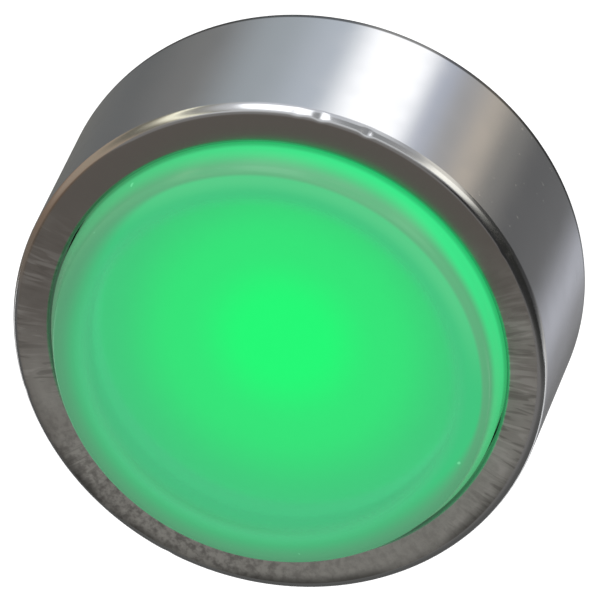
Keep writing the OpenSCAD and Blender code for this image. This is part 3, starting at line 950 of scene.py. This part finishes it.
class PUSHBUTTON_OT_base(bpy.types.Operator):
    """Finishes the moulded base"""
    bl_idname = "pushbutton.base"
    bl_label = "Base"

    def execute(self, context):
        grey = moulded_plastic("grey_plastic", (0.105, 0.105, 0.113), (0.14, 0.14, 0.148))
        finish_copy("switch_base", context.scene.body_settings.edge, grey)
        return {"FINISHED"}


class PUSHBUTTON_OT_contacts(bpy.types.Operator):
    """Finishes the terminals, the contacts and the bridge"""
    bl_idname = "pushbutton.contacts"
    bl_label = "Terminals and contacts"

    def execute(self, context):
        brass = rolled_strip("brass_strip", (0.52, 0.36, 0.15), (0.72, 0.54, 0.27), 0.3)
        copper = rolled_strip("copper_strip", (0.5, 0.26, 0.14), (0.72, 0.42, 0.26), 0.3)
        silver = turned_metal("silver_contact", (0.6, 0.6, 0.58), (0.78, 0.78, 0.76), 0.28)
        finishes = {
            "led_terminal": brass, "contact_terminal": brass, "contact_bridge": copper,
            "fixed_contact": silver, "moving_contact": silver,
        }
        for node in frame["nodes"]:
            kind = next((k for k in finishes if node.startswith(k)), None)
            if kind:
                finish_copy(node, context.scene.body_settings.sheet_edge, finishes[kind])
        return {"FINISHED"}


class PUSHBUTTON_OT_light(bpy.types.Operator):
    """Finishes the light board, its diode and its resistor"""
    bl_idname = "pushbutton.light"
    bl_label = "Light board"

    def execute(self, context):
        finishes = {"led_board": circuit_board(), "led": diode_resin(), "led_resistor": chip_ceramic()}
        for node, finish in finishes.items():
            finish_copy(node, context.scene.body_settings.sheet_edge, finish)
        return {"FINISHED"}


class PUSHBUTTON_OT_stage(bpy.types.Operator):
    """Sets the camera, the floor, the cards that the chrome mirrors and the light"""
    bl_idname = "pushbutton.stage"
    bl_label = "Stage"

    # Camera and floor
    SENSOR = 36
    CLIP_START = 0.01
    CLIP_END = 20
    FLOOR_SIZE = 4
    FLOOR_GLOW = 0.5

    # Soft light overhead
    LAMP_AT = (-0.06, -0.03, 0.33)
    LAMP_WIDTH = 0.15
    LAMP_LENGTH = 0.5

    # Disc behind the button, dark inside the first radius and full outside the second, and the tent
    DISC_BEHIND = 0.12
    DISC_R = 0.13
    DARK_R = (0.045, 0.06)
    TENT_R = 0.36
    TENT_DEPTH = 0.4

    # Flat cards, low ones placed above the floor: tones along one axis, from 0 to 1
    UNDER_ABOVE_FLOOR = 0.005
    SIDE_ABOVE_FLOOR = 0.01
    UNDER_TONES = ((0.0, (0.26, 0.25, 0.24)), (0.54, (0.26, 0.25, 0.24)), (0.79, (0.14, 0.14, 0.135)),
                   (1.0, (0.13, 0.13, 0.125)))
    FRONT_TONES = ((0.0, (0.26, 0.25, 0.24)), (0.48, (0.28, 0.265, 0.25)), (0.72, (0.85, 0.86, 0.86)),
                   (1.0, 1.0))
    SIDE_TONES = ((0.0, (0.16, 0.16, 0.155)), (0.22, (0.11, 0.11, 0.105)), (0.5, (0.08, 0.08, 0.075)),
                  (1.0, 0.03))
    RIGHT_TONES = ((0.0, 0.03), (1.0, 0.03))

    # Tones round the axis, by degrees from the right: lamps, pale walls and dark cloth
    DISC_TONES = (
        (-180, (0.18, 0.185, 0.185)),
        (-140, (0.18, 0.18, 0.17)),
        (-118, 0.06),
        (-94, 0.26),
        (-78, 0.19),
        (-62, (0.31, 0.31, 0.32)),
        (-42, (0.6, 0.61, 0.66)),
        (-18, 0.2),
        (5, 0.18),
        (19, (0.33, 0.32, 0.3)),
        (31, (0.74, 0.66, 0.56)),
        (43, (0.54, 0.53, 0.52)),
        (53, (0.66, 0.7, 0.8)),
        (64, 1.85),
        (80, 1.85),
        (97, (0.72, 0.78, 0.85)),
        (120, (0.52, 0.57, 0.6)),
        (150, (0.27, 0.27, 0.265)),
        (180, (0.18, 0.185, 0.185)),
    )
    TENT_LEFT_LOW = (
        (-180, (0.3, 0.21, 0.15)),
        (-165, (0.24, 0.2, 0.16)),
        (-155, (0.15, 0.14, 0.12)),
        (-100, (0.13, 0.13, 0.12)),
    )
    FRONT_TENT_RIGHT = (
        (-60, 0.26),
        (-40, (0.22, 0.22, 0.21)),
        (-25, 0.1),
        (-12, (0.035, 0.035, 0.033)),
        (18, (0.03, 0.03, 0.027)),
        (26, (0.12, 0.12, 0.11)),
        (35, (1.5, 1.46, 1.32)),
        (46, (1.9, 1.84, 1.64)),
        (53, 0.45),
        (79, (0.4, 0.41, 0.41)),
        (89, (0.85, 0.86, 0.88)),
        (108, (1.05, 1.07, 1.1)),
    )
    REAR_TENT_RIGHT = (
        (-60, 0.22),
        (-44, (0.42, 0.42, 0.4)),
        (-34, (0.68, 0.67, 0.64)),
        (-22, (0.8, 0.79, 0.76)),
        (-14, (0.3, 0.3, 0.29)),
        (-8, 0.09),
        (14, (0.05, 0.05, 0.047)),
        (28, (0.07, 0.07, 0.067)),
        (40, (1.2, 1.14, 1.02)),
        (48, (1.1, 1.06, 0.94)),
        (55, (0.45, 0.46, 0.48)),
        (68, (0.95, 0.96, 0.97)),
        (86, (0.8, 0.82, 0.86)),
        (108, (0.95, 0.97, 1.02)),
    )
    TENT_LEFT_UP = (
        (118, (0.75, 0.76, 0.76)),
        (124, (0.45, 0.44, 0.4)),
        (129, (0.42, 0.41, 0.34)),
        (134, (2.3, 2.2, 1.7)),
        (139, (0.5, 0.46, 0.35)),
        (146, (0.2, 0.19, 0.15)),
        (160, (0.52, 0.42, 0.31)),
        (172, (0.48, 0.37, 0.28)),
        (180, (0.3, 0.21, 0.15)),
    )

    def execute(self, context):
        stage = context.scene.stage_settings
        context.scene.view_settings.view_transform = "Standard"
        self.camera(context, stage)
        self.floor(stage)
        self.world(context, stage)
        self.back_disc()
        self.light_tent()
        self.flat_cards(stage)
        self.softbox(stage)
        return {"FINISHED"}

    def camera(self, context, stage):
        """Camera at the photograph's angle."""
        clear_selection()
        a, e = stage.azimuth, stage.elevation
        right = Vector((math.cos(a), math.sin(a), 0))
        forwards = Vector((-math.sin(a) * math.cos(e), math.cos(a) * math.cos(e), -math.sin(e)))
        up = right.cross(forwards)
        spot = Vector((0, -BEZEL_DEPTH, 0))
        spot += right * stage.shift_right + up * stage.shift_up - forwards * stage.distance
        bpy.ops.object.camera_add(location=spot, rotation=(math.pi / 2 - e, 0, a))
        camera = context.object
        camera.data.lens = stage.focal
        camera.data.sensor_width = self.SENSOR
        camera.data.clip_start = self.CLIP_START
        camera.data.clip_end = self.CLIP_END
        context.scene.camera = camera

    def floor(self, stage):
        """Pale floor that keeps shadows and shows white."""
        clear_selection()
        bpy.ops.mesh.primitive_plane_add(size=self.FLOOR_SIZE, location=(0, 0, -stage.floor_drop))
        floor = bpy.context.object
        floor.name = "floor"
        material, tree, shader = new_finish("pale_floor", tuple(stage.floor_colour), 0.9)
        shader.inputs["Specular IOR Level"].default_value = 0.1
        shader.inputs["Emission Color"].default_value = (1, 1, 1, 1)
        connect(shader, {"Emission Strength": times(tree, self.seen_rays(tree), self.FLOOR_GLOW)})
        floor.data.materials.append(material)

    def seen_rays(self, tree):
        """1 for rays from the camera, from a mirror or through glass."""
        path = add_node(tree, "ShaderNodeLightPath").outputs
        mirrored = calc(tree, "MAXIMUM", path["Is Glossy Ray"], path["Is Transmission Ray"])
        return calc(tree, "MAXIMUM", path["Is Camera Ray"], mirrored)

    def world(self, context, stage):
        """White room: full white where it is seen, softer as light."""
        world = bpy.data.worlds.new("white_room")
        world.use_nodes = True
        tree = world.node_tree
        background = tree.nodes["Background"]
        background.inputs["Color"].default_value = (1, 1, 1, 1)
        connect(background, {"Strength": fade(tree, self.seen_rays(tree), 0.0, 1.0, stage.fill, 1.0)})
        context.scene.world = world

    def finish_card(self, card, share_at, stops, dim=None):
        """Gives a card its tones and hides it from everything but mirrors and glass."""
        material = bpy.data.materials.new(card.name)
        material.use_nodes = True
        tree = material.node_tree
        tree.nodes.clear()
        point = object_point(tree)
        inputs = {
            "Color": tones(tree, share_at(tree, point), stops),
            "Strength": dim(tree, point) if dim else 1.0,
        }
        light = add_node(tree, "ShaderNodeEmission", inputs)
        add_node(tree, "ShaderNodeOutputMaterial", {"Surface": light.outputs[0]})
        card.data.materials.append(material)
        card.visible_camera = False
        card.visible_diffuse = False
        card.visible_shadow = False

    def card(self, name, size, location, rotation, axis, stops):
        """Card outside the picture, whose tone changes along one of its axes."""
        clear_selection()
        bpy.ops.mesh.primitive_plane_add(size=1, location=location, rotation=rotation)
        card = bpy.context.object
        card.name = name
        card.scale = (*size, 1)

        def card_share(tree, point):
            return fade_linear(tree, split(tree, point)[axis], -0.5, 0.5)

        self.finish_card(card, card_share, stops)

    def flat_cards(self, stage):
        """Cards under the button and in front of it, as far out as the chrome mirrors them."""
        level = (0, 0, 0)
        upright = (math.pi / 2, 0, 0)
        under_at = (-0.03, -0.165, self.UNDER_ABOVE_FLOOR - stage.floor_drop)
        side_at = (0.27, -0.2, self.SIDE_ABOVE_FLOOR - stage.floor_drop)
        self.card("under_card", (0.66, 0.47), under_at, level, "Y", self.UNDER_TONES)
        self.card("front_card", (0.8, 0.52), (0, -0.37, 0.14), upright, "Y", self.FRONT_TONES)
        self.card("side_card", (0.18, 0.4), side_at, level, "X", self.SIDE_TONES)
        self.card("right_card", (0.28, 0.24), (0.26, -0.365, 0), upright, "Y", self.RIGHT_TONES)

    def turn_share(self, tree, point):
        """Angle round the axis as a share from 0 to 1, with 0.5 at the right."""
        parts = split(tree, point)
        return fade_linear(tree, calc(tree, "ARCTAN2", parts["Z"], parts["X"]), -math.pi, math.pi)

    def turn_stops(self, rows):
        """Stops of a ramp round the axis, from rows of degrees and tone."""
        return [(degrees / 360 + 0.5, tone) for degrees, tone in rows]

    def light_tent(self):
        """Tent round the button's axis, in two parts, which the bezel's front edge mirrors."""
        front = [(self.TENT_R, self.TENT_DEPTH), (self.TENT_R, 0)]
        rear = [(self.TENT_R, 0), (self.TENT_R, -self.DISC_BEHIND), (self.DISC_R, -self.DISC_BEHIND)]
        parts = (("front_tent", front, self.FRONT_TENT_RIGHT), ("rear_tent", rear, self.REAR_TENT_RIGHT))
        for name, outline, right in parts:
            stops = self.turn_stops((*self.TENT_LEFT_LOW, *right, *self.TENT_LEFT_UP))
            self.finish_card(turn_outline(name, outline), self.turn_share, stops)

    def back_disc(self):
        """Disc of tones behind the button, which the bezel's side mirrors as streaks."""
        disc = turn_outline("back_disc", [(0, -self.DISC_BEHIND), (self.DISC_R, -self.DISC_BEHIND)])

        def dim(tree, point):
            return fade(tree, radius_at(tree, point), *self.DARK_R)

        self.finish_card(disc, self.turn_share, self.turn_stops(self.DISC_TONES), dim)

    def softbox(self, stage):
        """Large soft light overhead, a little to the left."""
        clear_selection()
        bpy.ops.object.light_add(type="AREA", location=self.LAMP_AT, rotation=(0, 0, 0))
        lamp = bpy.context.object
        lamp.name = "softbox"
        lamp.data.shape = "RECTANGLE"
        lamp.data.size = self.LAMP_WIDTH
        lamp.data.size_y = self.LAMP_LENGTH
        lamp.data.energy = stage.key


class PUSHBUTTON_PT_panel(bpy.types.Panel):
    """Lists the pushbutton's pieces and its stage"""
    bl_idname = "PUSHBUTTON_PT_panel"
    bl_label = "Pushbutton"
    bl_space_type = "VIEW_3D"
    bl_region_type = "UI"
    bl_category = "Pushbutton"

    def draw(self, context):
        for operator in OPERATORS:
            self.layout.operator(operator.bl_idname)


GROUPS = {
    "bezel_settings": BezelSettings,
    "lens_settings": LensSettings,
    "body_settings": BodySettings,
    "stage_settings": StageSettings,
}
OPERATORS = (
    PUSHBUTTON_OT_bezel, PUSHBUTTON_OT_lens, PUSHBUTTON_OT_plunger, PUSHBUTTON_OT_seals,
    PUSHBUTTON_OT_barrel, PUSHBUTTON_OT_fixing, PUSHBUTTON_OT_springs, PUSHBUTTON_OT_base,
    PUSHBUTTON_OT_contacts, PUSHBUTTON_OT_light, PUSHBUTTON_OT_stage,
)
CLASSES = (*GROUPS.values(), *OPERATORS, PUSHBUTTON_PT_panel)


def register():
    """Registers the classes and puts the settings on the scene."""
    for cls in CLASSES:
        bpy.utils.register_class(cls)
    for name, group in GROUPS.items():
        setattr(bpy.types.Scene, name, bpy.props.PointerProperty(type=group))


def unregister():
    """Takes the settings off the scene and unregisters the classes."""
    for name in GROUPS:
        delattr(bpy.types.Scene, name)
    for cls in reversed(CLASSES):
        bpy.utils.unregister_class(cls)


def main():
    """Makes every piece and the stage."""
    register()
    bpy.ops.pushbutton.bezel()
    bpy.ops.pushbutton.lens()
    bpy.ops.pushbutton.plunger()
    bpy.ops.pushbutton.seals()
    bpy.ops.pushbutton.barrel()
    bpy.ops.pushbutton.fixing()
    bpy.ops.pushbutton.springs()
    bpy.ops.pushbutton.base()
    bpy.ops.pushbutton.contacts()
    bpy.ops.pushbutton.light()
    bpy.ops.pushbutton.stage()


if __name__ == "__main__":
    main()
